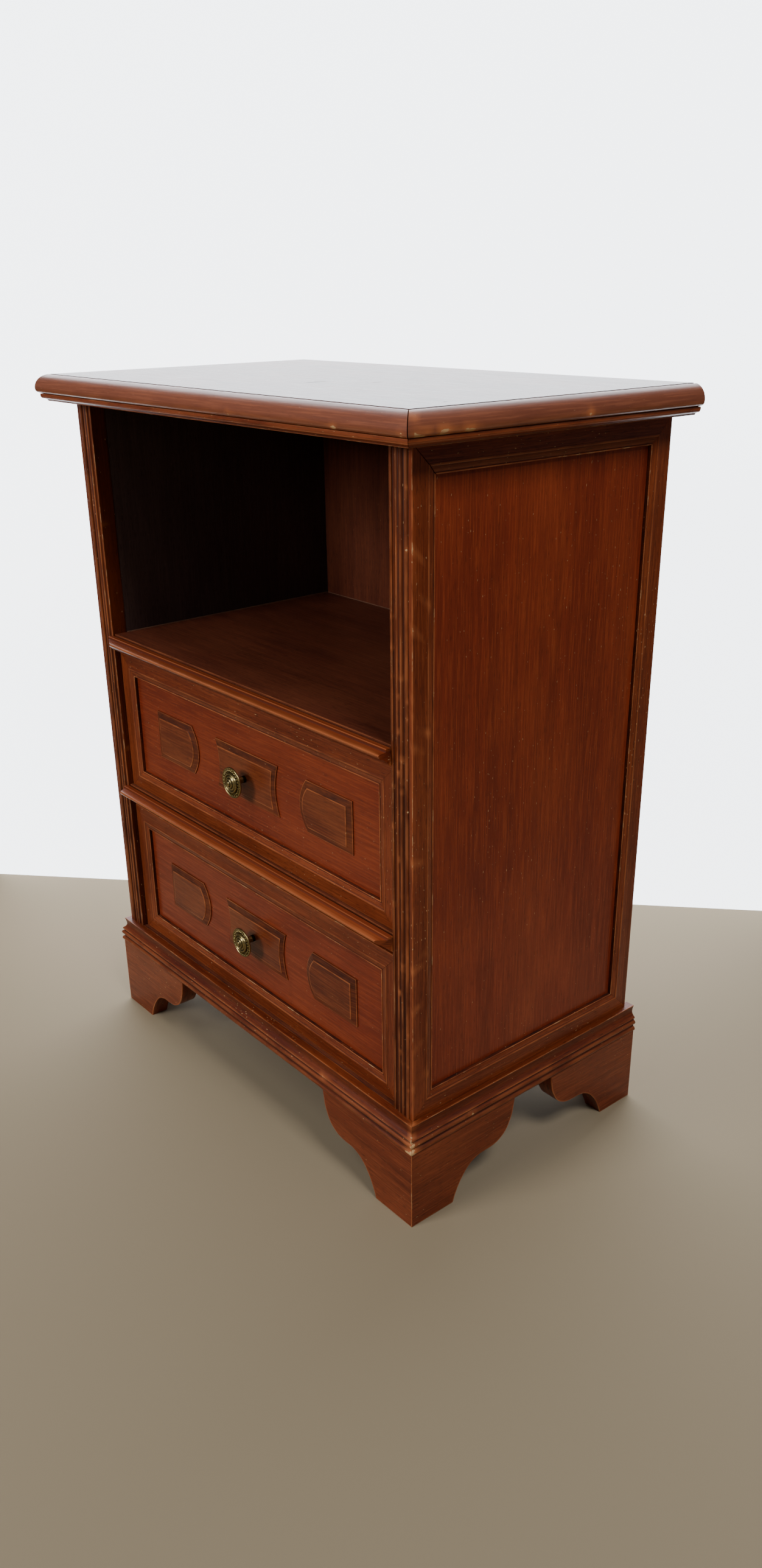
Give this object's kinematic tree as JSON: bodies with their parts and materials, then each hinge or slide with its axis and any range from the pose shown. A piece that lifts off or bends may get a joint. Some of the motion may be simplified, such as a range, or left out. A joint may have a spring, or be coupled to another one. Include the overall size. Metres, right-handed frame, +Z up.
{
  "type": "nightstand",
  "caption": "Wooden nightstand with an open niche above inset sliding drawers, moulded top, reeded posts, planted mouldings and scalloped bracket feet.",
  "frame": {"origin": "middle of the bounding box on the floor", "axes": "+Z up, front faces -Y, +X to the right seen from the front"},
  "size_m": [0.5098, 0.2964, 0.65],
  "materials": {
    "solid_wood": "stained and lacquered mahogany colour, satin gloss",
    "veneer": "mahogany veneer, lacquered, glossy",
    "interior_wood": "dark stained, satin",
    "drawer_box_wood": "plain pale wood, unfinished",
    "knob_brass": "antique brass, tarnished in the hollows"
  },
  "bodies": {
    "case": {"back_panel": "interior_wood", "base_moulding_front": "solid_wood", "base_moulding_left": "solid_wood", "base_moulding_right": "solid_wood", "bottom_board": "interior_wood", "bottom_rail": "interior_wood", "cornice_front": "solid_wood", "cornice_left": "solid_wood", "cornice_right": "solid_wood", "drawer_divider": "interior_wood", "drawer_divider_nosing": "solid_wood", "foot_front_left": "solid_wood", "foot_front_right": "solid_wood", "foot_rear_left": "solid_wood", "foot_rear_right": "solid_wood", "front_post_left": "solid_wood", "front_post_right": "solid_wood", "niche_shelf": "interior_wood", "niche_shelf_nosing": "solid_wood", "side_frame_left_bottom": "solid_wood", "side_frame_left_front": "solid_wood", "side_frame_left_rear": "solid_wood", "side_frame_left_top": "solid_wood", "side_frame_right_bottom": "solid_wood", "side_frame_right_front": "solid_wood", "side_frame_right_rear": "solid_wood", "side_frame_right_top": "solid_wood", "side_panel_left": "veneer", "side_panel_right": "veneer", "top_board": "veneer", "top_edge_front": "solid_wood", "top_edge_left": "solid_wood", "top_edge_right": "solid_wood"},
    "upper_drawer": {"upper_drawer_back": "drawer_box_wood", "upper_drawer_bottom": "drawer_box_wood", "upper_drawer_frame_bottom": "solid_wood", "upper_drawer_frame_left": "solid_wood", "upper_drawer_frame_right": "solid_wood", "upper_drawer_frame_top": "solid_wood", "upper_drawer_front_panel": "veneer", "upper_drawer_knob": "knob_brass", "upper_drawer_plaque_centre": "veneer", "upper_drawer_plaque_left": "veneer", "upper_drawer_plaque_right": "veneer", "upper_drawer_side_left": "drawer_box_wood", "upper_drawer_side_right": "drawer_box_wood"},
    "lower_drawer": {"lower_drawer_back": "drawer_box_wood", "lower_drawer_bottom": "drawer_box_wood", "lower_drawer_frame_bottom": "solid_wood", "lower_drawer_frame_left": "solid_wood", "lower_drawer_frame_right": "solid_wood", "lower_drawer_frame_top": "solid_wood", "lower_drawer_front_panel": "veneer", "lower_drawer_knob": "knob_brass", "lower_drawer_plaque_centre": "veneer", "lower_drawer_plaque_left": "veneer", "lower_drawer_plaque_right": "veneer", "lower_drawer_side_left": "drawer_box_wood", "lower_drawer_side_right": "drawer_box_wood"}
  },
  "joints": [
    {"name": "upper_drawer_slide", "type": "slide", "parent": "case", "child": "upper_drawer", "axis": [0, -1, 0], "range_m": [0, 0.2]},
    {"name": "lower_drawer_slide", "type": "slide", "parent": "case", "child": "lower_drawer", "axis": [0, -1, 0], "range_m": [0, 0.2]}
  ]
}
